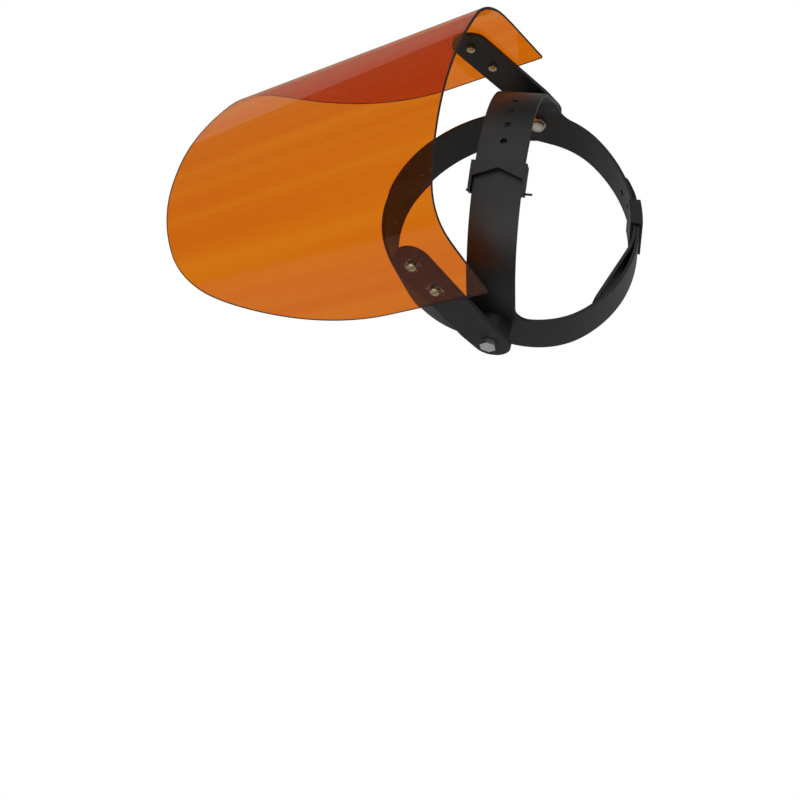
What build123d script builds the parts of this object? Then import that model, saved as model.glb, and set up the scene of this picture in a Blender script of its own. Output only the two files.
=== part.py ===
"""Face shield: a hinged transparent visor on a strap headband.

Frame (mm): +X is the wearer's left, -Y the front and +Z up as worn. The origin is in the
middle of the head opening, on the hinge axis, which runs along X through both pivots.

The headband is one moulding: a forehead band, two rear straps that slope down to the nape
and two crown straps that leave the band at the pivots. Each pair of strap ends overlaps in
a keeper. The visor is a bent sheet screwed to two flat arms, which turn on the pivot bolts.
The visor's own pieces are built hanging straight down, and are then turned up together.
"""

from build123d import *
import os
from math import acos, atan2, cos, degrees, hypot, radians, sin, sqrt, tan

os.makedirs("parts", exist_ok=True)

# Headband: mid-surface sizes
STRAP_T = 2.2  # thickness of every strap
BAND_H = 30.0  # height of the forehead band and of the rear straps
HALF_WIDTH = 89.5  # from the middle plane to the band at the pivots
BAND_Z = -4.0  # the band's middle at the pivots and the forehead
FRONT_REACH = 91.3
FRONT_STRAIGHT = 4.0
FRONT_SIDE_R = 84.0
FRONT_LEAN = -4.3 / 30  # the forehead band's top edge leans forwards
REAR_REACH = 81.5  # the outer of the two rear straps
REAR_STRAIGHT = 8.0
REAR_SIDE_R = 63.0
REAR_SLOPE = 19.7  # degrees down from the pivots to the nape
REAR_LEAN = 3.8 / 33.4  # the rear straps' top edges lean backwards
REAR_MID_Z = -32.6
LAYER = 2.5  # between the middles of two overlapping straps
PIVOT_OVERLAP = 10.0  # the front and rear halves cross this far past the pivots

# Crown straps
CROWN_W = 32.0
CROWN_R = 90.2  # about the origin, between the two layers
SHOULDER_R = 70.0  # of the right strap, beyond the top
CROWN_LEAN = 3.6  # degrees backwards
BEND_R = 30.0
BEND_Z = 9.0
CORNER_R = 13.0  # where straps meet
CROWN_TIP_LEFT = 92.0  # angles from +X, about Y
CROWN_TIP_RIGHT = 72.5
ROOT_Z = -17.0  # the crown straps' flat roots start here, under the bosses
GUSSET_TOP = 19.0
HOLE_D = 4.5
CROWN_HOLES = 4
HOLE_PITCH = 13.4
FIRST_HOLE = 83.0

# Rear tails, in degrees either side of the back of the ring
KEEPER_MID = 12.5
TAIL_FROM = 20.5
TAIL_TURN = 15.0
TAIL_LEN = 22.0
TAIL_DROP = 12.0  # the left strap's free end hangs down by this angle
TIP_R = 10.0
CUT_TIP_R = 2.0  # the right crown strap's end, cut nearly square
CHORD_FROM = 4.0
CHORD_BEND_R = 40.0
CHORD_LEN = 63.0
CHORD_TURN = 25.0
CHORD_DROP = 8.0  # degrees, as the free end sags
REAR_HOLES = (8.6, 15.7, 22.8, 29.9)

# Keepers
KEEPER_LEN = 20.0
KEEPER_WALL = 1.6
KEEPER_RAIL = 1.8
KEEPER_PLAY = 0.4
CROWN_KEEPER_MID = 67.0
CHEVRON_POINT = 6.5  # along the strap, from the keeper's middle to the notch's point
CHEVRON_END = 0.0
STUB_D = 1.5
STUB_LEN = 5.0

# Pivots
BOLT_D = 6.0
BOLT_FIT = 0.06  # radial, in the arms that turn on the bolts
BOLT_PLAY = 0.2  # radial, in the pieces that do not turn
BOSS_R = 12.8
FACE_GAP = 0.3
HEAD_AF = 10.0
HEAD_H = 4.0
HEX_CHAMFER = 30.0  # degrees, of every hexagon's turned corners
HEX_TURNED = 0.25
WASHER_D = 12.0
WASHER_T = 1.2
SEAT_GAP = 0.1  # under a flat piece that lies on a curved wall
NUT_H = 2.6

# Visor: outer face, in a section across its length
VISOR_T = 2.0
HALF_CHORD = 103.2
VISOR_DEPTH = 87.2
SIDE_LEN = 38.0  # the flat part of each side
SIDE_SLANT = 7.6  # degrees inwards, going forwards
SIDE_R = 126.0  # from the flat part to the corner
SIDE_TURN = 13.0  # the slant at the corner's start
CORNER_TURN = 72.0  # the slant at the corner's end
CHORD_AHEAD = 45.5  # the sheet's rear edges, ahead of the hinge axis
TOP_ABOVE = 27.9  # the sheet's top edge, above the hinge axis
VISOR_LEN = 245.0
CHIN_ACROSS = 153.7  # the flat sheet's lower corners are quarter ellipses
CHIN_ALONG = 166.0
CHIN_STEPS = 12

# Arms
ARM_T = 3.0
ARM_W = 26.0
ARM_REACH = 81.0  # from the pivot to the centre of the round front end
ARM_TAIL = 3.0  # from the pivot back to the centre of the other end
ARM_DIP = 5.8
LAND = 10.0  # flat round the pivot, before the bend
ARM_BEND_R = 40.0
LAP_GAP = 0.1
ARM_SPARE = 4.0  # drawn past each end, before the ends are cut round
SCREWS = {"front": 81.4, "rear": 57.3}
SCREW_D = 3.0
SCREW_PLAY = 0.1  # radial
SCREW_HEAD_D = 6.4
SCREW_HEAD_H = 2.2
SCREW_NUT_AF = 5.5
SCREW_NUT_H = 2.4
SCREW_END = 1.0  # past the nut
DRIVE_W = 0.9
DRIVE_DEPTH = 0.8

VISOR_RAISE = 66.0  # at rest, from hanging straight down

FAR = 250.0  # beyond the whole headband, for shapes that cut or trim
WALL_LOW, WALL_HIGH = -85.0, 24.0  # the levels between which ring walls are drawn


def polar(radius, angle):
    return Vector(radius * cos(radians(angle)), radius * sin(radians(angle)))


def path_edges(start, heading, moves, side):
    """A path's edges, shifted to its left by side. A move is a length, or (radius, turn)."""
    p = Vector(*start) + polar(side, heading + 90)
    edges, first = [], p
    for move in moves:
        if isinstance(move, tuple):
            radius, turn = move
            sign = 1 if turn > 0 else -1
            r = radius - side * sign
            centre = p + polar(r * sign, heading + 90)
            middle = centre - polar(r * sign, heading + turn / 2 + 90)
            heading += turn
            q = centre - polar(r * sign, heading + 90)
            edges.append(ThreePointArc(p, middle, q))
        else:
            q = p + polar(move, heading)
            edges.append(Line(p, q))
        p = q
    return edges, first, p


def strip(start, heading, moves, sides=(STRAP_T / 2, -STRAP_T / 2)):
    """The face of a strap seen edge on, between two lines beside a path."""
    left, left_start, left_end = path_edges(start, heading, moves, sides[0])
    right, right_start, right_end = path_edges(start, heading, moves, sides[1])
    ends = [Line(left_start, right_start), Line(left_end, right_end)]
    return make_face([*left, *right, *ends])


def end_arc(half_width, reach, side_r):
    """The radius and the side arc's turn of a quarter made of two tangent arcs."""
    radius = (half_width**2 + reach**2 - 2 * half_width * side_r) / (2 * (reach - side_r))
    return radius, degrees(atan2(radius - reach, half_width - side_r))


def leaning(face, lean, z_ref):
    """A plan face drawn at z_ref, made into a tall wall whose straight lines lean along Y."""
    bottom = Pos(0, lean * (WALL_LOW - z_ref), WALL_LOW) * face
    height = WALL_HIGH - WALL_LOW
    return extrude(bottom, amount=height * hypot(1, lean), dir=(0, lean, 1))


def slab(height):
    """The space between two planes that follow the rear straps down."""
    return Pos(0, 0, BAND_Z) * Rot(-REAR_SLOPE, 0, 0) * Box(2 * FAR, 2 * FAR, height)


def round_end(strap, near, radius):
    """Rounds the two corners of a strap's free end, the face nearest to a point."""
    end = min(strap.faces(), key=lambda f: (f.center() - Vector(*near)).length)
    corners = [e for e in end.edges() if e.length < 1.5 * STRAP_T]
    return fillet(corners, radius)


# Rear straps, in plan: both are arcs about REAR_CENTRE where they overlap
REAR_R, REAR_TURN = end_arc(HALF_WIDTH, REAR_REACH - REAR_STRAIGHT, REAR_SIDE_R)
REAR_CENTRE = (0, REAR_REACH - REAR_R)


def left_rear_path(end):
    """The outer strap, from the left pivot to end degrees past the middle of the back."""
    start = (HALF_WIDTH, -PIVOT_OVERLAP)
    moves = [PIVOT_OVERLAP + REAR_STRAIGHT, (REAR_SIDE_R, REAR_TURN), (REAR_R, 90 - REAR_TURN + end)]
    return start, 90, moves


def right_rear_path(end):
    """The inner strap, from the right pivot to end degrees short of the middle of the back."""
    radius = REAR_R - LAYER
    reach = REAR_CENTRE[1] + radius - REAR_STRAIGHT
    side_r = (2 * reach * radius - HALF_WIDTH**2 - reach**2) / (2 * (radius - HALF_WIDTH))
    turn = degrees(atan2(radius - reach, HALF_WIDTH - side_r))
    moves = [PIVOT_OVERLAP + REAR_STRAIGHT, (side_r, -turn), (radius, turn - 90 + end)]
    return (-HALF_WIDTH, -PIVOT_OVERLAP), 90, moves


def front_path():
    start = (HALF_WIDTH, PIVOT_OVERLAP)
    radius, turn = end_arc(HALF_WIDTH, FRONT_REACH - FRONT_STRAIGHT, FRONT_SIDE_R)
    straight = PIVOT_OVERLAP + FRONT_STRAIGHT
    moves = [straight, (FRONT_SIDE_R, -turn), (radius, 2 * turn - 180), (FRONT_SIDE_R, -turn), straight]
    return start, -90, moves


def side_outline():
    """The headband from the side: both bands and the crown straps' roots, with round corners."""
    band = Pos(-FAR / 2, BAND_Z) * Rectangle(FAR, BAND_H)
    strap = Pos(0, BAND_Z) * Rot(0, 0, -REAR_SLOPE) * Pos(FAR / 2, 0) * Rectangle(FAR, BAND_H)
    joint = Pos(0, BAND_Z) * Circle(BAND_H / 2)
    root_top = 1.5 * GUSSET_TOP
    root = Rot(0, 0, -CROWN_LEAN) * Pos(0, root_top / 2) * Rectangle(CROWN_W, root_top)
    outline = band + strap + joint + root
    corners = [
        v for v in outline.vertices() if abs(abs(v.X) - CROWN_W / 2) < CORNER_R / 4 and 0 < v.Y < GUSSET_TOP
    ]
    inside = Pos(0, BAND_Z + (BAND_H + CROWN_W) / 2) * Rectangle(CROWN_W - STRAP_T, CROWN_W)
    above = Pos(0, GUSSET_TOP + CROWN_W) * Rectangle(3 * CROWN_W, 2 * CROWN_W)
    return fillet(corners, CORNER_R) - inside - above


def rear_point(angle, radius=REAR_R):
    """A point of the rear straps' middle line, angle degrees right of the middle of the back."""
    x = -radius * sin(radians(angle))
    y = REAR_CENTRE[1] + radius * cos(radians(angle))
    return Vector(x, y, BAND_Z - y * tan(radians(REAR_SLOPE)))


def rear_hole(angle):
    spot = rear_point(angle, REAR_R - LAYER)
    outward = Vector(spot.X, spot.Y - REAR_CENTRE[1], 0)
    return Plane(spot, z_dir=outward) * Cylinder(HOLE_D / 2, 2 * STRAP_T)


def free_end(side, start_angle, radius, moves, drop, reach):
    """A rear strap's rounded free end, which twists down by an angle as it leaves the keeper.

    Side is the way along X that it points, and reach is how far it goes.
    """
    start = rear_point(start_angle, radius)
    heading = start_angle if side > 0 else 180 + start_angle
    wall = leaning(strip((start.X, start.Y), heading, moves), REAR_LEAN, REAR_MID_Z)
    length = 2 * reach
    outline = Pos(side * (reach - length / 2), 0) * RectangleRounded(length, BAND_H, TIP_R)
    frame = Pos(*start) * Rot(-REAR_SLOPE, side * drop, 0)
    return wall & (frame * extrude(Plane.XZ * outline, 2 * BAND_H, both=True))


def left_tail():
    """The end of the outer strap, beyond the keeper."""
    return free_end(-1, TAIL_FROM, REAR_R, [(REAR_R, 2 * TAIL_TURN)], TAIL_DROP, TAIL_LEN)


def right_tail():
    """The end of the inner strap, which runs straight across inside the left one."""
    moves = [(CHORD_BEND_R, -CHORD_TURN), 1.5 * CHORD_LEN]
    return free_end(1, CHORD_FROM, REAR_R - LAYER, moves, CHORD_DROP, CHORD_LEN)


def crown_strap(side, arcs, centre_z, tip, tip_r):
    """A crown strap drawn from the front, from its root at one pivot over to its tip.

    Side is 1 for the left and -1 for the right strap. Its arcs are (radius, the angle turned
    through by their end). The first is about a centre at centre_z, and a straight stretch
    leads to it from the bend above the pivot.
    """
    radius = arcs[0][0]
    inset, rise = HALF_WIDTH - BEND_R, BEND_Z - centre_z
    lean = degrees(atan2(rise, inset) + acos((radius - BEND_R) / hypot(inset, rise)))
    straight = ((radius - BEND_R) * sin(radians(lean)) - rise) / cos(radians(lean))
    moves = [BEND_Z - ROOT_Z, (BEND_R, side * lean), straight]
    turned = lean
    for arc_r, turn_end in arcs:
        moves.append((arc_r, side * (turn_end - turned)))
        turned = turn_end
    face = Rot(90, 0, 0) * strip((side * HALF_WIDTH, ROOT_Z), 90, moves)
    strap = extrude(face, CROWN_W / 2, both=True)
    return round_end(strap, (tip.X, 0, tip.Y), tip_r)


def crown_holes():
    """The right strap's row of holes, evenly spaced along its middle line over the top."""
    radius = CROWN_R + LAYER / 2
    holes = []
    for i in range(CROWN_HOLES):
        angle = FIRST_HOLE + degrees(i * HOLE_PITCH / radius)
        spot, out = polar(radius, angle), polar(1, angle)
        if angle > 90:
            angle = 90 + (angle - 90) * radius / SHOULDER_R
            out = polar(1, angle)
            spot = Vector(0, radius - SHOULDER_R) + out * SHOULDER_R
        plane = Plane((spot.X, 0, spot.Y), z_dir=(out.X, 0, out.Y))
        holes.append(plane * Cylinder(HOLE_D / 2, 2 * STRAP_T))
    return holes


def crown_straps():
    inner, outer = CROWN_R - LAYER / 2, CROWN_R + LAYER / 2
    left_tip, right_tip = polar(inner, CROWN_TIP_LEFT), polar(outer, CROWN_TIP_RIGHT)
    left = crown_strap(1, [(inner, CROWN_TIP_LEFT)], 0, left_tip, TIP_R)
    over = [(SHOULDER_R, 90), (outer, 180 - CROWN_TIP_RIGHT)]
    right = crown_strap(-1, over, outer - SHOULDER_R, right_tip, CUT_TIP_R)
    return Rot(-CROWN_LEAN, 0, 0) * (left + (right - crown_holes()))


def headband():
    outline = extrude(Plane.YZ * side_outline(), FAR, both=True)
    front = leaning(strip(*front_path()), FRONT_LEAN, BAND_Z) & outline
    left = (leaning(strip(*left_rear_path(TAIL_FROM)), REAR_LEAN, REAR_MID_Z) & outline) + left_tail()
    right = (leaning(strip(*right_rear_path(CHORD_FROM)), REAR_LEAN, REAR_MID_Z) & outline) + right_tail()
    right -= [rear_hole(angle) for angle in REAR_HOLES]
    band = front + left + right + crown_straps()
    return band - Rot(0, 90, 0) * Cylinder(BOLT_D / 2 + BOLT_PLAY, FAR)


def sector(r_in, r_out, middle, length):
    """A plan ring sector of a given length, its middle in degrees from +X."""
    half = degrees(length / (r_in + r_out))
    start = polar(r_in, middle - half)
    moves = [(r_in, 2 * half)]
    inner, first_in, last_in = path_edges((start.X, start.Y), middle - half + 90, moves, 0)
    outer, first_out, last_out = path_edges((start.X, start.Y), middle - half + 90, moves, r_in - r_out)
    return make_face([*inner, *outer, Line(first_in, first_out), Line(last_in, last_out)])


def keeper_radii(middle):
    """The radii of a keeper's slot and of its outer faces, about two straps' shared centre."""
    reach = (LAYER + STRAP_T) / 2 + KEEPER_PLAY
    slot = (middle - reach, middle + reach)
    return slot, (slot[0] - KEEPER_WALL, slot[1] + KEEPER_WALL)


def crown_keeper():
    slot, block = keeper_radii(CROWN_R)
    inner_w = CROWN_W + 2 * KEEPER_PLAY
    outer_w = inner_w + 2 * KEEPER_RAIL
    body = extrude(Rot(90, 0, 0) * sector(*block, CROWN_KEEPER_MID, KEEPER_LEN), outer_w / 2, both=True)
    body -= extrude(Rot(90, 0, 0) * sector(*slot, CROWN_KEEPER_MID, 1.5 * KEEPER_LEN), inner_w / 2, both=True)
    spot = polar((slot[0] + slot[1]) / 2, CROWN_KEEPER_MID)
    radial = Vector(spot.X, 0, spot.Y)
    notch = Polyline(
        (-inner_w / 2, CHEVRON_END),
        (0, CHEVRON_POINT),
        (inner_w / 2, CHEVRON_END),
        (inner_w / 2, -KEEPER_LEN),
        (-inner_w / 2, -KEEPER_LEN),
        close=True,
    )
    top = Plane(radial, x_dir=(0, 1, 0), z_dir=radial)
    body -= extrude(top * make_face(notch), KEEPER_LEN)
    low = polar(CROWN_R, CROWN_KEEPER_MID - degrees((KEEPER_LEN / 2 - STUB_D) / CROWN_R))
    stub = Cylinder(STUB_D / 2, KEEPER_RAIL + STUB_LEN)
    body += Pos(low.X, (inner_w + KEEPER_RAIL + STUB_LEN) / 2, low.Y) * Rot(90, 0, 0) * stub
    nub = Cylinder(STUB_D / 2, KEEPER_RAIL + STUB_D)
    body += Pos(low.X, -(inner_w + KEEPER_RAIL + STUB_D) / 2, low.Y) * Rot(90, 0, 0) * nub
    return Rot(-CROWN_LEAN, 0, 0) * body


def rear_keeper():
    slot, block = keeper_radii(REAR_R - LAYER / 2)
    inner_h = BAND_H + 3 * KEEPER_PLAY
    middle = 90 + KEEPER_MID
    centre = Pos(*REAR_CENTRE)
    body = leaning(centre * sector(*block, middle, KEEPER_LEN), REAR_LEAN, REAR_MID_Z)
    hollow = leaning(centre * sector(*slot, middle, 1.5 * KEEPER_LEN), REAR_LEAN, REAR_MID_Z)
    return (body & slab(inner_h + 2 * KEEPER_RAIL)) - (hollow & slab(inner_h))


def rod(diameter, length):
    return Cylinder(diameter / 2, length, align=(Align.CENTER, Align.CENTER, Align.MIN))


def hexagon(across_flats, height):
    """A hexagonal prism with its corners turned down at the top."""
    prism = extrude(RegularPolygon(across_flats / 2, 6, major_radius=False), height)
    corner_r = across_flats / sqrt(3)
    base_r = corner_r + height / tan(radians(HEX_CHAMFER))
    on_base = (Align.CENTER, Align.CENTER, Align.MIN)
    return prism & Cone(base_r, corner_r - HEX_TURNED, height, align=on_base)


def on_side(side, x, shape):
    """A shape drawn upwards from Z = 0, turned to point outwards from x on one side."""
    return Pos(side * x, 0, 0) * Rot(0, side * 90, 0) * shape


def pivot_pieces(side):
    wall_out = HALF_WIDTH + STRAP_T / 2
    wall_in = HALF_WIDTH - STRAP_T / 2 - SEAT_GAP
    clear_d = BOLT_D + 2 * BOLT_PLAY
    boss = rod(2 * BOSS_R, BOSS_LEN) - rod(clear_d, BOSS_LEN)
    washer = rod(WASHER_D, WASHER_T) - rod(clear_d, WASHER_T)
    nut_in = wall_in - WASHER_T - NUT_H
    nut = rod(HEAD_AF, NUT_H) - rod(BOLT_D, NUT_H)
    head_in = ARM_OUT + FACE_GAP
    bolt = rod(BOLT_D, head_in - nut_in + HEAD_H / 2) + Pos(0, 0, head_in - nut_in) * hexagon(HEAD_AF, HEAD_H)
    return {
        "pivot_boss": on_side(side, wall_out, boss),
        "pivot_washer": on_side(side, wall_in - WASHER_T, washer),
        "pivot_nut": on_side(side, nut_in, nut),
        "pivot_bolt": on_side(side, nut_in, bolt),
    }


def wall_x(ahead, depth=0.0):
    """How far out the visor's flat side is, ahead of the hinge axis and depth inside its outer face."""
    slant = radians(SIDE_SLANT)
    return HALF_CHORD - depth / cos(slant) - (ahead - CHORD_AHEAD) * tan(slant)


# The visor's outer line, carried on back to the flat land round the pivot
LAND_X = wall_x(LAND + ARM_BEND_R * tan(radians(SIDE_SLANT / 2)))
ARM_OUT = LAND_X - VISOR_T - LAP_GAP
BOSS_LEN = ARM_OUT - ARM_T - FACE_GAP - HALF_WIDTH - STRAP_T / 2


def visor_arcs():
    """The corner and front radii that close the section on its chord and its depth."""
    s, a, b = radians(SIDE_SLANT), radians(SIDE_TURN), radians(CORNER_TURN)
    across = HALF_CHORD - SIDE_LEN * sin(s) - SIDE_R * (cos(s) - cos(a))
    ahead = VISOR_DEPTH - SIDE_LEN * cos(s) - SIDE_R * (sin(a) - sin(s))
    k = cos(a) - cos(b)
    m = sin(b) - sin(a)
    corner = (across * (1 - sin(b)) - ahead * cos(b)) / (k * (1 - sin(b)) - m * cos(b))
    return corner, (across - k * corner) / cos(b)


def visor_moves():
    corner, front = visor_arcs()
    side, bend = (SIDE_R, SIDE_SLANT - SIDE_TURN), (corner, SIDE_TURN - CORNER_TURN)
    return [SIDE_LEN, side, bend, (front, 2 * CORNER_TURN - 180), bend, side, SIDE_LEN]


def move_length(move):
    return abs(move[0] * radians(move[1])) if isinstance(move, tuple) else move


def visor_start():
    return (HALF_CHORD, -CHORD_AHEAD), -90 - SIDE_SLANT


def visor_spot(length):
    """The point and heading on the section's outer line after a length of it."""
    p, heading = visor_start()
    p = Vector(*p)
    for move in visor_moves():
        step = min(length, move_length(move))
        if isinstance(move, tuple):
            centre = p + polar(move[0], heading - 90)
            heading -= degrees(step / move[0])
            p = centre + polar(move[0], heading + 90)
        else:
            p += polar(step, heading)
        length -= step
        if length <= 0:
            break
    return p, heading


def chin_section(length, drop):
    """A rectangle across the sheet, down to where the sheet ends."""
    p, heading = visor_spot(length)
    across = polar(1, heading + 90)
    high, low = TOP_ABOVE + VISOR_T, TOP_ABOVE - VISOR_LEN + drop
    out, into = p + across * VISOR_T, p - across * 2 * VISOR_T
    return Polyline(
        (out.X, out.Y, high), (out.X, out.Y, low), (into.X, into.Y, low), (into.X, into.Y, high), close=True
    )


def visor_blank():
    """The bent sheet with its lower corners rounded, before drilling."""
    start, heading = visor_start()
    face = strip(start, heading, visor_moves(), (0, -VISOR_T))
    sheet = extrude(Pos(0, 0, TOP_ABOVE - VISOR_LEN) * face, VISOR_LEN)
    whole = sum(move_length(move) for move in visor_moves())
    angles = [radians(90 * i / CHIN_STEPS) for i in range(CHIN_STEPS + 1)]
    half = [(CHIN_ACROSS * (1 - cos(a)), CHIN_ALONG * (1 - sin(a))) for a in angles]
    cuts = half + [(whole / 2, 0)] + [(whole - length, drop) for length, drop in reversed(half)]
    keep = loft([make_face(chin_section(length, drop)) for length, drop in cuts])
    return sheet & keep


def wall_plane(side, reach):
    """On the visor's outer face, reach along an arm from its pivot, facing outwards."""
    ahead = reach * cos(radians(ARM_DIP))
    drop = reach * sin(radians(ARM_DIP))
    out = polar(1, -SIDE_SLANT)
    return Plane((side * wall_x(ahead), -ahead, -drop), x_dir=(0, 0, 1), z_dir=(side * out.X, out.Y, 0))


def screw_holes(side):
    hole = Cylinder(SCREW_D / 2 + SCREW_PLAY, 4 * (VISOR_T + ARM_T))
    return [wall_plane(side, reach) * hole for reach in SCREWS.values()]


def arm(side):
    """A strip with one slight bend beyond the pivot, whose front lies along the visor's side."""
    slant = radians(SIDE_SLANT)
    end = ARM_W / 2 + ARM_SPARE
    flat = (CHORD_AHEAD - LAND - ARM_BEND_R * sin(slant)) / cos(slant) + SIDE_LEN
    moves = [end + LAND, (ARM_BEND_R, -SIDE_SLANT), flat, (SIDE_R, SIDE_SLANT - SIDE_TURN)]
    outer = -VISOR_T - LAP_GAP
    bar = extrude(strip((LAND_X, end), -90, moves, (outer, outer - ARM_T)), 2 * ARM_W, both=True)
    outline = SlotCenterToCenter(ARM_REACH + ARM_TAIL, ARM_W)
    side_view = Plane.YZ * Rot(0, 0, ARM_DIP) * Pos((ARM_TAIL - ARM_REACH) / 2, 0) * outline
    piece = bar & extrude(side_view, FAR)
    piece -= Rot(0, 90, 0) * Cylinder(BOLT_D / 2 + BOLT_FIT, FAR)
    if side < 0:
        piece = mirror(piece, about=Plane.YZ)
    return piece - screw_holes(side)


def visor():
    return visor_blank() - screw_holes(1) - screw_holes(-1)


def screw_pieces(side, reach):
    """A pan-head screw whose head is outside the visor, and the nut behind the arm."""
    grip = VISOR_T + LAP_GAP + ARM_T + SEAT_GAP
    plane = wall_plane(side, reach)
    head = rod(SCREW_HEAD_D, SCREW_HEAD_H)
    head = fillet(head.edges().group_by(Axis.Z)[-1], 0.45 * SCREW_HEAD_H)
    slot = Box(2 * SCREW_HEAD_D, DRIVE_W, 2 * DRIVE_DEPTH)
    shank_len = grip + SCREW_NUT_H + SCREW_END
    shank = Pos(0, 0, -shank_len) * rod(SCREW_D, shank_len)
    screw = head - Pos(0, 0, SCREW_HEAD_H) * slot + shank
    nut = Rot(180, 0, 0) * (hexagon(SCREW_NUT_AF, SCREW_NUT_H) - rod(SCREW_D, SCREW_NUT_H))
    return plane * screw, plane * Pos(0, 0, -grip) * nut


def raised(shape):
    return Rot(-VISOR_RAISE, 0, 0) * shape


def assembly():
    """Every sub-part, by its node's name."""
    pieces = {
        "headband": headband(),
        "crown_keeper": crown_keeper(),
        "rear_keeper": rear_keeper(),
        "visor": raised(visor()),
    }
    for side, word in ((1, "left"), (-1, "right")):
        for name, piece in pivot_pieces(side).items():
            pieces[f"{name}_{word}"] = piece
        pieces[f"arm_{word}"] = raised(arm(side))
        for place, reach in SCREWS.items():
            screw, nut = screw_pieces(side, reach)
            pieces[f"visor_screw_{word}_{place}"] = raised(screw)
            pieces[f"visor_nut_{word}_{place}"] = raised(nut)
    return pieces


for node, part in assembly().items():
    export_step(part, f"parts/{node}.step")
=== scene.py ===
"""Looks for the face shield: materials, a fine visor sheet, light and the camera.

Everything is in metres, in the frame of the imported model: +X is the wearer's left, -Y the
front and +Z up as worn, with the origin on the hinge axis in the middle of the head opening.
"""

import bmesh
import bpy
from math import ceil, cos, pi, radians, sin
from mathutils import Matrix, Vector


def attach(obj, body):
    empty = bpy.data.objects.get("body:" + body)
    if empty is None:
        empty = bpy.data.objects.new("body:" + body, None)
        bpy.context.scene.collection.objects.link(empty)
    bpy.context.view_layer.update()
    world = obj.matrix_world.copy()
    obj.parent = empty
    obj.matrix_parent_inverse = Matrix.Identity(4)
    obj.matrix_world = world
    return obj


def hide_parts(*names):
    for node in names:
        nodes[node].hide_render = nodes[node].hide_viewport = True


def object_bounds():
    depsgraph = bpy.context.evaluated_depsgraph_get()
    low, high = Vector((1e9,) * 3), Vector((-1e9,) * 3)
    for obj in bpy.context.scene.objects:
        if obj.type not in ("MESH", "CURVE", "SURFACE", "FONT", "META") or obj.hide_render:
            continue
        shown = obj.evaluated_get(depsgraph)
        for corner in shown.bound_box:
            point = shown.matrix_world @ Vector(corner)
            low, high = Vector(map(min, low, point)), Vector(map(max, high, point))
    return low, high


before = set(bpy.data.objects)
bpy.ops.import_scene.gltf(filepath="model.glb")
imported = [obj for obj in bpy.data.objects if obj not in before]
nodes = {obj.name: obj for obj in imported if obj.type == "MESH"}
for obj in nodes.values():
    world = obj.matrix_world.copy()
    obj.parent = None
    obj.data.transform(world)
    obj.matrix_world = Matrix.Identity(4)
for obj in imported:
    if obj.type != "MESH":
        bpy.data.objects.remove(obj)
cad_low, cad_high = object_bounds()
scene = bpy.context.scene
MM = 0.001

# The visor's sheet, as in the part's source: a bent flat sheet, turned up about the hinge
VISOR_RAISE = 66.0
VISOR_T = 2.0 * MM
HALF_CHORD = 103.2 * MM
VISOR_DEPTH = 87.2 * MM
SIDE_LEN = 38.0 * MM
SIDE_SLANT = 7.6
SIDE_R = 126.0 * MM
SIDE_TURN = 13.0
CORNER_TURN = 72.0
CHORD_AHEAD = 45.5 * MM
TOP_ABOVE = 27.9 * MM
VISOR_LEN = 245.0 * MM
CHIN_ACROSS = 153.7 * MM
CHIN_ALONG = 166.0 * MM
ARM_DIP = 5.8
SCREW_REACHES = (81.4 * MM, 57.3 * MM)
SCREW_HOLE_R = 1.6 * MM
COLUMNS = 72  # across each chin corner
ROWS = 110
GRID_STEP = 3.0 * MM  # between the columns of the middle
HOLE_PATCH_R = 5.5 * MM  # the grid is rebuilt inside this circle round each hole

# Camera
CAMERA_PLACE = Vector((0.5713, 0.1998, 0.7206))
CAMERA_AIM = Vector((0.1558, -0.0503, 0.0))
CAMERA_ROLL = -21.5  # degrees
LENS_MM = 59.4
SENSOR_MM = 36.0

# The sheet's tint, which streaks vary between, its specks and its sawn edge
CLEAR = (0.65, 0.17, 0.004)
DEEP = (0.61, 0.13, 0.002)
SPECK = (0.9, 0.8, 0.7)
SAWN = ((0.4, (0.012, 0.005, 0.005)), (0.62, (0.06, 0.02, 0.015)), (0.8, (0.25, 0.10, 0.06)))
CRAZE_FULL_R = 4.5 * MM  # cracks round a screw are full to here and gone at the next
CRAZE_END_R = 7.5 * MM

# Edges rounded in the shading, and the darker patches of the plating
BEVEL_SAMPLES = 4
PLASTIC_EDGE_R = 0.5 * MM
METAL_EDGE_R = 0.25 * MM
DULL = 0.85

# Light: a plain room with dim walls and a bright ceiling, which starts and is full at
# these sines of the elevation
WALLS = 0.08
CEILING = 0.8
CEILING_FROM = 0.5
CEILING_FULL = 0.8
KEY_PLACE = (1.3, -0.5, 1.0)
KEY_SIZE = 0.9
KEY_POWER = 3

# Stage: a white background, and a pale floor that is a plain grey in reflections
WHITE = (1.0, 1.0, 1.0)
FLOOR_PAPER = (0.9, 0.9, 0.9, 1)
FLOOR_REFLECTED = (0.3, 0.3, 0.3)
FLOOR_GAP = 1 * MM
FLOOR_SIZE = 6.0

RAISED = Matrix.Rotation(radians(-VISOR_RAISE), 4, "X")


# ---------------------------------------------------------------- shader helpers


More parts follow.
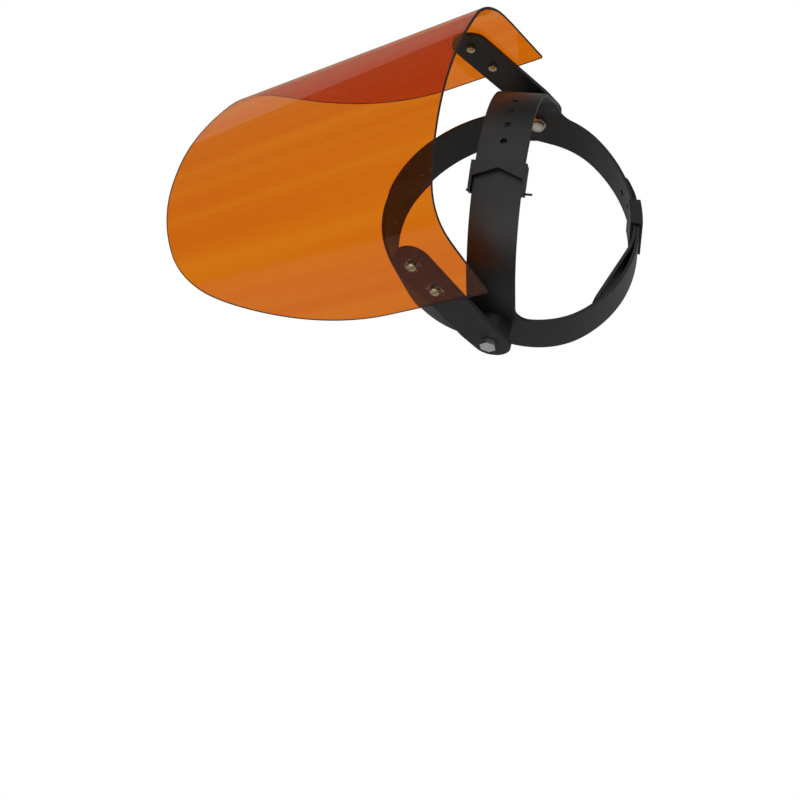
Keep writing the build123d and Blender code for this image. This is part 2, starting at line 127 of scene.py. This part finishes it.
class Shader:
    """The nodes of a material or world, with short calls that add and link them."""

    def __init__(self, owner, surface):
        owner.use_nodes = True
        self.tree = owner.node_tree
        self.surface = self.tree.nodes[surface]

    def node(self, kind, settings=None, **inputs):
        made = self.tree.nodes.new("ShaderNode" + kind)
        for key, value in (settings or {}).items():
            setattr(made, key, value)
        for key, value in inputs.items():
            self.feed(made.inputs[key.replace("_", " ")], value)
        return made

    def feed(self, socket, value):
        if isinstance(value, bpy.types.NodeSocket):
            self.tree.links.new(value, socket)
        else:
            socket.default_value = value

    def set(self, socket, value):
        self.feed(self.surface.inputs[socket], value)

    def place(self, scale=(1, 1, 1), turn=(0, 0, 0)):
        """The piece's own coordinates in metres, scaled and turned."""
        coords = self.node("TexCoord").outputs["Object"]
        mapping = self.node("Mapping", {"vector_type": "TEXTURE"}, Vector=coords)
        mapping.inputs["Rotation"].default_value = turn
        mapping.inputs["Scale"].default_value = [1 / s for s in scale]
        return mapping.outputs["Vector"]

    def noise(self, where, scale, detail=4.0, roughness=0.55, warp=0.0):
        """Cloudy values from 0 to 1; a higher scale makes them finer."""
        made = self.node("TexNoise", Vector=where, Scale=scale, Detail=detail)
        made.inputs["Roughness"].default_value = roughness
        made.inputs["Distortion"].default_value = warp
        return made.outputs["Fac"]

    def ramp(self, factor, *stops):
        """Stops are (position, value or colour)."""
        made = self.node("ValToRGB", Fac=factor)
        elements = made.color_ramp.elements
        while len(elements) < len(stops):
            elements.new(0.5)
        for element, (position, value) in zip(elements, stops):
            element.position = position
            element.color = (*value, 1) if isinstance(value, tuple) else (value, value, value, 1)
        return made.outputs["Color"]

    def math(self, operation, *values):
        made = self.node("Math", {"operation": operation})
        for socket, value in zip(made.inputs, values):
            self.feed(socket, value)
        return made.outputs["Value"]

    def mix(self, factor, first, second):
        made = self.node("Mix", {"data_type": "RGBA"})
        self.feed(made.inputs["Factor"], factor)
        for socket, value in ((made.inputs[6], first), (made.inputs[7], second)):
            self.feed(socket, (*value, 1) if isinstance(value, tuple) else value)
        return made.outputs[2]

    def bump(self, height, strength, distance, normal=None):
        made = self.node("Bump", Height=height, Strength=strength, Distance=distance)
        if normal is not None:
            self.feed(made.inputs["Normal"], normal)
        return made.outputs["Normal"]


# ---------------------------------------------------------------- materials


class Finish(Shader):
    """A material with a Principled shader, whose plain values are given by socket."""

    def __init__(self, name, **values):
        self.material = bpy.data.materials.new(name)
        super().__init__(self.material, "Principled BSDF")
        for socket, value in values.items():
            self.surface.inputs[socket.replace("_", " ")].default_value = value


def black_plastic(name, colour, roughness, grain=1.0):
    """Moulded black plastic: a fine grain, faint flow marks and softly rounded edges."""
    s = Finish(name, IOR=1.5)
    where = s.place()
    cloud = s.noise(where, 22.0, detail=5.0)
    grit = s.noise(where, 900.0, detail=2.0)
    marks = s.noise(s.place(scale=(1, 1, 6)), 160.0, detail=3.0, warp=0.4)
    pale = tuple(1.7 * c + 0.004 for c in colour)
    s.set("Base Color", s.mix(s.ramp(cloud, (0.35, 0.0), (0.7, 1.0)), colour, pale))
    low, high = roughness
    both = s.math("MULTIPLY", s.math("ADD", cloud, marks), 0.5)
    s.set("Roughness", s.ramp(both, (0.35, low), (0.65, high)))
    soft = s.node("Bevel", {"samples": BEVEL_SAMPLES}, Radius=PLASTIC_EDGE_R).outputs["Normal"]
    fine = s.bump(grit, 0.25 * grain, 0.02 * MM, soft)
    s.set("Normal", s.bump(marks, 0.2 * grain, 0.05 * MM, fine))
    return s.material


def zinc(name, colour, roughness):
    """Plated steel: bright, with cloudy roughness and small scratches."""
    s = Finish(name, Metallic=1.0)
    where = s.place()
    cloud = s.noise(where, 260.0, detail=5.0)
    scratch = s.noise(s.place(scale=(1, 9, 1)), 700.0, detail=2.0)
    dull = tuple(DULL * c for c in colour)
    s.set("Base Color", s.mix(s.ramp(cloud, (0.4, 0.0), (0.62, 1.0)), colour, dull))
    low, high = roughness
    both = s.math("MULTIPLY", s.math("ADD", cloud, scratch), 0.5)
    s.set("Roughness", s.ramp(both, (0.4, low), (0.6, high)))
    soft = s.node("Bevel", {"samples": BEVEL_SAMPLES}, Radius=METAL_EDGE_R).outputs["Normal"]
    s.set("Normal", s.bump(scratch, 0.2, 0.03 * MM, soft))
    return s.material


def acrylic(name, spots):
    """Transparent orange sheet: lines along its length, specks, and cracks round the screws."""
    s = Finish(name, IOR=1.45, Transmission_Weight=1.0)
    along = s.place(scale=(1, 1, 0.03), turn=(radians(-VISOR_RAISE), 0, 0))
    where = s.place()
    streaks = s.noise(along, 55.0, detail=3.0, warp=0.2)
    tint = s.mix(s.ramp(streaks, (0.35, 0.0), (0.65, 1.0)), CLEAR, DEEP)
    specks = s.node("TexVoronoi", Vector=where, Scale=95.0).outputs["Distance"]
    dust = s.ramp(specks, (0.0, 1.0), (0.035, 0.0))
    nearest = 1.0
    for spot in spots:
        away = s.node("VectorMath", {"operation": "DISTANCE"})
        s.feed(away.inputs[0], where)
        away.inputs[1].default_value = spot
        nearest = s.math("MINIMUM", nearest, away.outputs["Value"])
    cells = s.node("TexVoronoi", {"feature": "DISTANCE_TO_EDGE"}, Vector=where, Scale=430.0)
    cracks = cells.outputs["Distance"]
    patchy = s.ramp(s.noise(where, 190.0), (0.46, 0.0), (0.56, 1.0))
    round_screw = s.ramp(nearest, (CRAZE_FULL_R, 1.0), (CRAZE_END_R, 0.0))
    near_screw = s.math("MULTIPLY", patchy, round_screw)
    craze = s.math("MULTIPLY", s.ramp(cracks, (0.0, 1.0), (0.09, 0.0)), near_screw)
    white = s.math("MAXIMUM", dust, craze)
    s.set("Base Color", s.mix(white, tint, SPECK))
    smeared = s.ramp(s.noise(where, 30.0), (0.4, 0.01), (0.7, 0.04))
    s.set("Roughness", s.math("MAXIMUM", smeared, white))
    s.set("Transmission Weight", s.math("SUBTRACT", 1.0, s.math("MULTIPLY", craze, 0.7)))
    waves = s.noise(along, 26.0, detail=1.0)
    s.set("Normal", s.bump(waves, 0.02, 0.4 * MM))
    return s.material


def cut_edge(name):
    """The sheet's sawn edge, dark brown with paler saw marks."""
    s = Finish(name, IOR=1.49, Roughness=0.45)
    saw = s.noise(s.place(), 420.0, detail=4.0, roughness=0.7)
    s.set("Base Color", s.ramp(saw, *SAWN))
    s.set("Normal", s.bump(saw, 0.6, 0.2 * MM))
    return s.material


# ---------------------------------------------------------------- the visor's sheet


def section_moves():
    """The section as (length, turn in radians), from the left rear edge to the right one."""
    s, a, b = radians(SIDE_SLANT), radians(SIDE_TURN), radians(CORNER_TURN)
    across = HALF_CHORD - SIDE_LEN * sin(s) - SIDE_R * (cos(s) - cos(a))
    ahead = VISOR_DEPTH - SIDE_LEN * cos(s) - SIDE_R * (sin(a) - sin(s))
    k, m = cos(a) - cos(b), sin(b) - sin(a)
    corner = (across * (1 - sin(b)) - ahead * cos(b)) / (k * (1 - sin(b)) - m * cos(b))
    front = (across - k * corner) / cos(b)
    half = [(SIDE_LEN, 0.0), (SIDE_R * (a - s), a - s), (corner * (b - a), b - a)]
    return half + [(front * (pi - 2 * b), pi - 2 * b)] + half[::-1]


MOVES = section_moves()
SHEET_WIDTH = sum(length for length, turn in MOVES)


def bent(across, down, depth):
    """Where a point of the flat sheet goes when bent and raised, depth behind its outer face."""
    p, heading = Vector((HALF_CHORD, -CHORD_AHEAD)), -pi / 2 - radians(SIDE_SLANT)
    left = across
    for length, turn in MOVES:
        step = min(left, length)
        angle = turn * step / length
        chord = step if angle == 0 else 2 * length / turn * sin(angle / 2)
        p = p + chord * Vector((cos(heading - angle / 2), sin(heading - angle / 2)))
        heading -= angle
        left -= step
        if left <= 0:
            break
    p = p + depth * Vector((sin(heading), -cos(heading)))
    return RAISED @ Vector((p.x, p.y, TOP_ABOVE - down))


def flat_grid():
    """The flat sheet's points and quads: columns follow the rounded chin corners."""
    half = [CHIN_ACROSS * (1 - cos(pi / 2 * i / COLUMNS)) for i in range(COLUMNS + 1)]
    drops = [CHIN_ALONG * (1 - sin(pi / 2 * i / COLUMNS)) for i in range(COLUMNS + 1)]
    flats = max(1, ceil((SHEET_WIDTH - 2 * CHIN_ACROSS) / GRID_STEP))
    middle = [CHIN_ACROSS + (SHEET_WIDTH - 2 * CHIN_ACROSS) * i / flats for i in range(1, flats)]
    columns = list(zip(half, drops)) + [(x, 0.0) for x in middle]
    columns += [(SHEET_WIDTH - x, drop) for x, drop in reversed(list(zip(half, drops)))]
    flat = bmesh.new()
    rows = []
    for x, drop in columns:
        length = VISOR_LEN - drop
        rows.append([flat.verts.new((x, length * j / ROWS, 0)) for j in range(ROWS + 1)])
    for left, right in zip(rows, rows[1:]):
        for j in range(ROWS):
            flat.faces.new((left[j], left[j + 1], right[j + 1], right[j]))
    return flat


def screw_spots():
    """The screw holes' centres on the flat sheet."""
    spots = []
    for reach in SCREW_REACHES:
        ahead, drop = reach * cos(radians(ARM_DIP)), reach * sin(radians(ARM_DIP))
        x = (ahead - CHORD_AHEAD) / cos(radians(SIDE_SLANT))
        spots += [Vector((x, TOP_ABOVE + drop, 0)), Vector((SHEET_WIDTH - x, TOP_ABOVE + drop, 0))]
    return spots


def cut_hole(flat, spot):
    """Takes out the grid round a hole and joins what is left to the hole's circle."""
    gone = [f for f in flat.faces if (f.calc_center_median() - spot).length < HOLE_PATCH_R]
    bmesh.ops.delete(flat, geom=gone, context="FACES")
    rim = [e for e in flat.edges if len(e.link_faces) == 1 and
           all((v.co - spot).length < 2 * HOLE_PATCH_R for v in e.verts)]
    ring = {}
    for v in dict.fromkeys(v for e in rim for v in e.verts):
        away = (v.co - spot).normalized()
        ring[v] = [flat.verts.new(spot + away * r) for r in (0.5 * HOLE_PATCH_R, SCREW_HOLE_R)]
    for e in rim:
        a, b = e.verts
        flat.faces.new((a, b, ring[b][0], ring[a][0]))
        flat.faces.new((ring[a][0], ring[b][0], ring[b][1], ring[a][1]))


def visor_sheet(materials):
    """The bent sheet with its thickness: the first material on its faces, the second on its edge."""
    flat = flat_grid()
    for spot in screw_spots():
        cut_hole(flat, spot)
    bmesh.ops.recalc_face_normals(flat, faces=flat.faces)
    flat.verts.index_update()
    spots = [(v.co.x, v.co.y) for v in flat.verts]
    count = len(spots)
    points = [bent(x, y, depth) for depth in (0, VISOR_T) for x, y in spots]
    faces, slots, smooth = [], [], []
    for f in flat.faces:
        ring = [v.index for v in f.verts]
        faces += [ring, [i + count for i in reversed(ring)]]
        slots += [0, 0]
        smooth += [True, True]
    for e in flat.edges:
        if len(e.link_faces) == 1:
            a, b = (v.index for v in e.verts)
            faces.append([a, b, b + count, a + count])
            slots.append(1)
            smooth.append(False)
    flat.free()
    mesh = bpy.data.meshes.new("visor_sheet")
    mesh.from_pydata(points, [], faces)
    for material in materials:
        mesh.materials.append(material)
    mesh.polygons.foreach_set("material_index", slots)
    mesh.polygons.foreach_set("use_smooth", smooth)
    work = bmesh.new()
    work.from_mesh(mesh)
    bmesh.ops.recalc_face_normals(work, faces=work.faces)
    for e in work.edges:
        if len({f.material_index for f in e.link_faces}) > 1:
            e.smooth = False
    work.to_mesh(mesh)
    work.free()
    piece = bpy.data.objects.new("visor_sheet", mesh)
    scene.collection.objects.link(piece)
    return piece


# ---------------------------------------------------------------- stage, light and camera


def make_camera():
    camera = bpy.data.objects.new("camera", bpy.data.cameras.new("camera"))
    scene.collection.objects.link(camera)
    camera.data.lens = LENS_MM
    camera.data.sensor_width = SENSOR_MM
    camera.data.clip_start = 0.01
    aim = (CAMERA_AIM - CAMERA_PLACE).to_track_quat("-Z", "Y").to_matrix().to_4x4()
    roll = Matrix.Rotation(radians(CAMERA_ROLL), 4, "Z")
    camera.matrix_world = Matrix.Translation(CAMERA_PLACE) @ aim @ roll
    scene.camera = camera


def by_ray(s, reflected):
    """White where it is seen, straight or through the sheet, and another shade in reflections."""
    path = s.node("LightPath").outputs
    seen = s.math("MAXIMUM", path["Is Camera Ray"], path["Is Transmission Ray"])
    return s.mix(seen, reflected, WHITE), path


def make_floor():
    bpy.ops.mesh.primitive_plane_add(size=FLOOR_SIZE, location=(0, 0, cad_low.z - FLOOR_GAP))
    floor = bpy.context.object
    floor.name = "floor"
    s = Finish("floor_paper", Roughness=0.9, Base_Color=FLOOR_PAPER)
    colour, path = by_ray(s, FLOOR_REFLECTED)
    glow = s.node("Emission", Color=colour, Strength=1.0)
    both = s.node("MixShader", Fac=path["Is Diffuse Ray"])
    s.feed(both.inputs[1], glow.outputs["Emission"])
    s.feed(both.inputs[2], s.surface.outputs["BSDF"])
    s.feed(s.tree.nodes["Material Output"].inputs["Surface"], both.outputs["Shader"])
    floor.data.materials.append(s.material)


def make_world():
    """A plain room: even walls and a bright ceiling."""
    world = bpy.data.worlds.new("studio")
    scene.world = world
    s = Shader(world, "Background")
    toward = s.node("TexCoord").outputs["Generated"]
    up = s.node("SeparateXYZ", Vector=toward).outputs["Z"]
    room = s.ramp(up, (CEILING_FROM, WALLS), (CEILING_FULL, CEILING))
    s.set("Color", by_ray(s, room)[0])


def key_light():
    """One soft light, which faces the origin."""
    light = bpy.data.lights.new("key", "AREA")
    light.shape = "RECTANGLE"
    light.size = light.size_y = KEY_SIZE
    light.energy = KEY_POWER
    lamp = bpy.data.objects.new("key", light)
    lamp.location = KEY_PLACE
    lamp.rotation_euler = (-Vector(KEY_PLACE)).to_track_quat("-Z", "Y").to_euler()
    scene.collection.objects.link(lamp)


# ---------------------------------------------------------------- the scene

scene.view_settings.view_transform = "Standard"
make_camera()
make_floor()
make_world()
key_light()

headband_black = black_plastic("headband_black", (0.0105, 0.0105, 0.011), (0.34, 0.46))
keeper_black = black_plastic("keeper_black", (0.009, 0.009, 0.0095), (0.38, 0.5))
arm_black = black_plastic("arm_black", (0.015, 0.0155, 0.0165), (0.42, 0.56), grain=1.4)
bright_zinc = zinc("bright_zinc", (0.94, 0.95, 0.93), (0.2, 0.36))
dull_zinc = zinc("dull_zinc", (0.80, 0.70, 0.55), (0.35, 0.5))
yellow_zinc = zinc("yellow_zinc", (0.78, 0.66, 0.38), (0.25, 0.42))
visor_clear = acrylic("visor_clear", [bent(spot.x, spot.y, 0) for spot in screw_spots()])
visor_cut = cut_edge("visor_cut")

finishes = {
    "headband": headband_black,
    "crown_keeper": keeper_black,
    "rear_keeper": keeper_black,
    "arm": arm_black,
    "pivot_boss": keeper_black,
    "pivot_washer": dull_zinc,
    "pivot_nut": dull_zinc,
    "pivot": bright_zinc,
    "visor_screw": yellow_zinc,
    "visor_nut": yellow_zinc,
    "visor": visor_clear,
}
for name, node in nodes.items():
    finish = next(f for start, f in finishes.items() if name.startswith(start))
    node.data.materials.clear()
    node.data.materials.append(finish)

sheet = visor_sheet([visor_clear, visor_cut])
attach(sheet, "visor")
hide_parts("visor")
